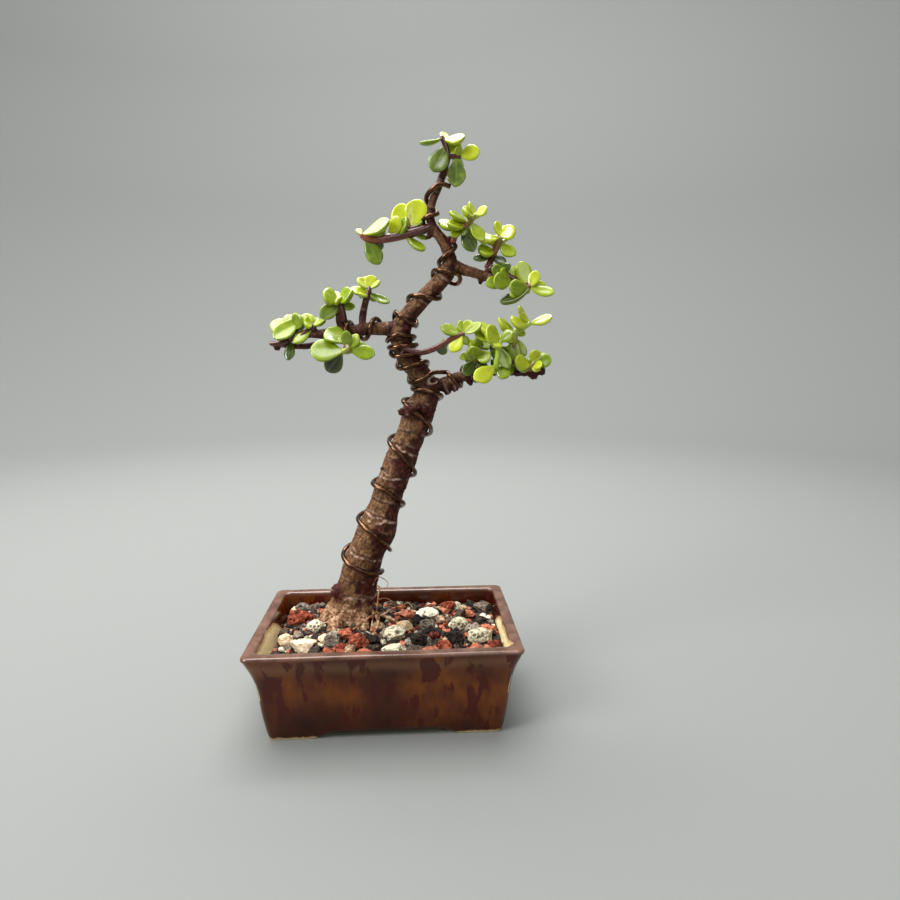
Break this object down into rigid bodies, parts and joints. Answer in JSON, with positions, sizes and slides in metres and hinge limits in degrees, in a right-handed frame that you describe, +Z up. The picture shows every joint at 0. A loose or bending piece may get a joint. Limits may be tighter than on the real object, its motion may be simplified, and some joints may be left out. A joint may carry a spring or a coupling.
{
  "type": "jade bonsai",
  "caption": "Small jade bonsai: a leaning trained trunk with wired branches and fleshy leafy shoots, rooted in gravel in a glazed rectangular footed pot.",
  "frame": {"origin": "on the surface the pot stands on, under the middle of the whole bonsai's outline", "axes": "+Z up, +X to the right as seen from the display side, -Y towards the viewer; the trunk leans towards +X"},
  "size_m": [0.1498, 0.0816, 0.2865],
  "materials": {
    "pot_glaze": "dark reddish-brown gloss glaze over cream clay, bare inside and under the feet",
    "mesh_plastic": "matt black moulded mesh",
    "bark": "rough brown bark, tan and mossy at the foot",
    "wire": "bronze-coloured anodised training wire",
    "leaf": "waxy fleshy yellow-green leaves",
    "soil": "loose open potting mix with fine gravel",
    "red_lava": "rough porous red lava",
    "pumice": "rough porous pale pumice",
    "pale_pebble": "smooth cream stone",
    "dark_grit": "rough black lava",
    "grey_stone": "rough grey stone"
  },
  "bodies": {
    "root": {"pot": "pot_glaze", "drainage_mesh_left": "mesh_plastic", "drainage_mesh_right": "mesh_plastic", "trunk_and_branches": "bark", "wire_trunk": "wire", "wire_branches": "wire", "wire_leader": "wire", "shoot_apex": "leaf", "shoot_upper_left": "leaf", "shoot_crown_inner": "leaf", "shoot_crown_outer": "leaf", "shoot_upper_right_tip": "leaf", "shoot_left_outer_upright": "leaf", "shoot_left_inner_upright": "leaf", "shoot_left_stub": "leaf", "shoot_left_end": "leaf", "shoot_left_front": "leaf", "shoot_right_thin": "leaf", "shoot_right_inner": "leaf", "shoot_right_front": "leaf", "shoot_right_tall": "leaf", "shoot_right_tip": "leaf", "soil_bed": "soil", "stone_01": "red_lava", "stone_02": "pumice", "stone_03": "pale_pebble", "stone_04": "pale_pebble", "stone_05": "grey_stone", "stone_06": "red_lava", "stone_07": "red_lava", "stone_08": "dark_grit", "stone_09": "grey_stone", "stone_10": "pumice", "stone_11": "pumice", "stone_12": "red_lava", "stone_13": "pumice", "stone_14": "grey_stone", "stone_15": "dark_grit", "stone_16": "red_lava", "stone_17": "pumice", "stone_18": "pumice", "stone_19": "dark_grit", "stone_20": "grey_stone", "stone_21": "red_lava", "stone_22": "dark_grit"}
  },
  "joints": []
}
